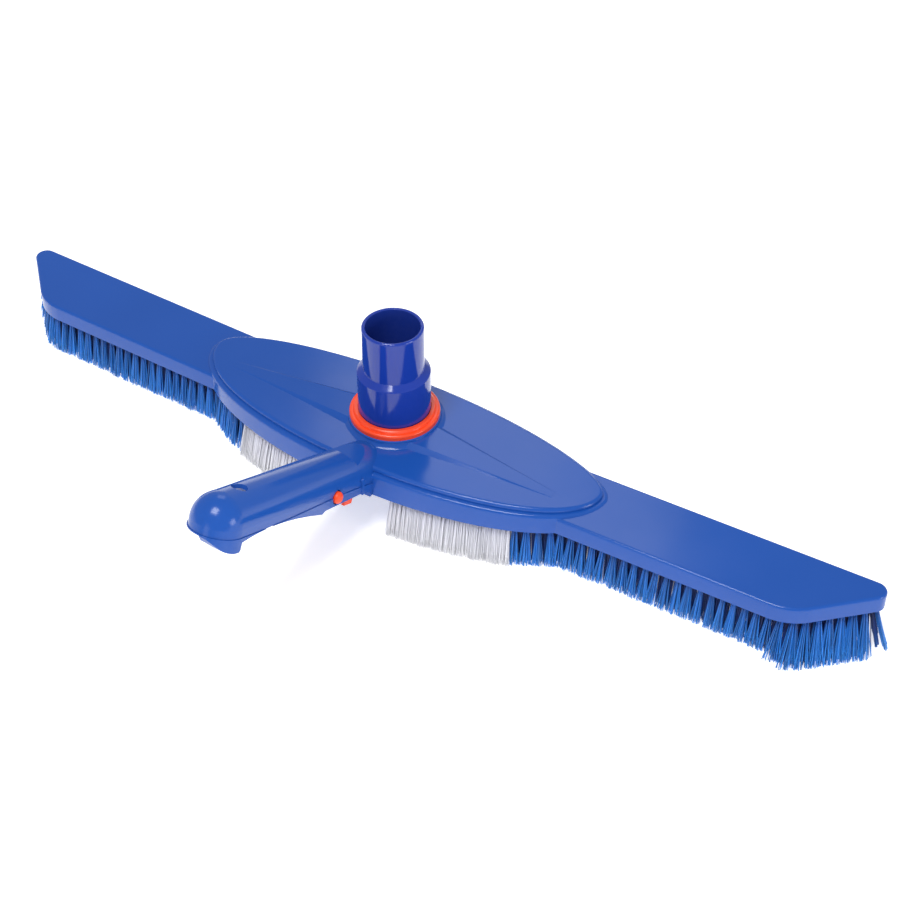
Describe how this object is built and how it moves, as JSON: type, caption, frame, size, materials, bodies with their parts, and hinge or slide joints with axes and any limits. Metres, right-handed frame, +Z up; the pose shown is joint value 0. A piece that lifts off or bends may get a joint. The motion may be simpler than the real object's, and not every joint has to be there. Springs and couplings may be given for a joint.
{
  "type": "manual pool vacuum head",
  "caption": "Brush-edged pool vacuum head with a lens-shaped centre, a stepped swivel hose spigot and a sloping snap-in pole handle.",
  "frame": {"origin": "on the hose spigot's axis, in the plane of the bristle tips", "axes": "+X along the brush wings, -Y towards the pole handle, +Z up the hose spigot"},
  "size_m": [0.5304, 0.1953, 0.0982],
  "materials": {
    "shell_blue": "smooth glossy moulding",
    "spigot_blue": "smooth glossy moulding, darker blue",
    "orange_plastic": "smooth moulded orange",
    "washer_white": "natural acetal",
    "screw_steel": "stainless",
    "bristle_blue": "fine nylon monofilament",
    "bristle_white": "fine nylon monofilament"
  },
  "bodies": {
    "head": {"body_shell": "shell_blue", "base_plate": "shell_blue", "base_screws": "screw_steel", "swivel_ring": "orange_plastic", "wear_washer": "washer_white", "clip_bend": "orange_plastic", "blue_bristles_left": "bristle_blue", "blue_bristles_right": "bristle_blue", "white_bristles_front_left": "bristle_white", "white_bristles_front_right": "bristle_white", "white_bristles_back": "bristle_white"},
    "spigot": {"hose_spigot": "spigot_blue"},
    "left_button": {"clip_arm_left": "orange_plastic"},
    "right_button": {"clip_arm_right": "orange_plastic"}
  },
  "joints": [
    {"name": "spigot_swivel", "type": "hinge", "parent": "head", "child": "spigot", "pos_m": [0, 0, 0.06], "axis": [0, 0, 1], "continuous": true},
    {"name": "left_button_press", "type": "hinge", "parent": "head", "child": "left_button", "pos_m": [-0.0032, -0.11067, 0.0652], "axis": [0, -0.4289, -0.9033], "range_deg": [0, 4.2], "stiffness_Nm_per_rad": 2, "springref_deg": -2.86},
    {"name": "right_button_press", "type": "hinge", "parent": "head", "child": "right_button", "pos_m": [0.0032, -0.11067, 0.0652], "axis": [0, 0.4289, 0.9033], "range_deg": [0, 4.2], "stiffness_Nm_per_rad": 2, "springref_deg": -2.86}
  ]
}
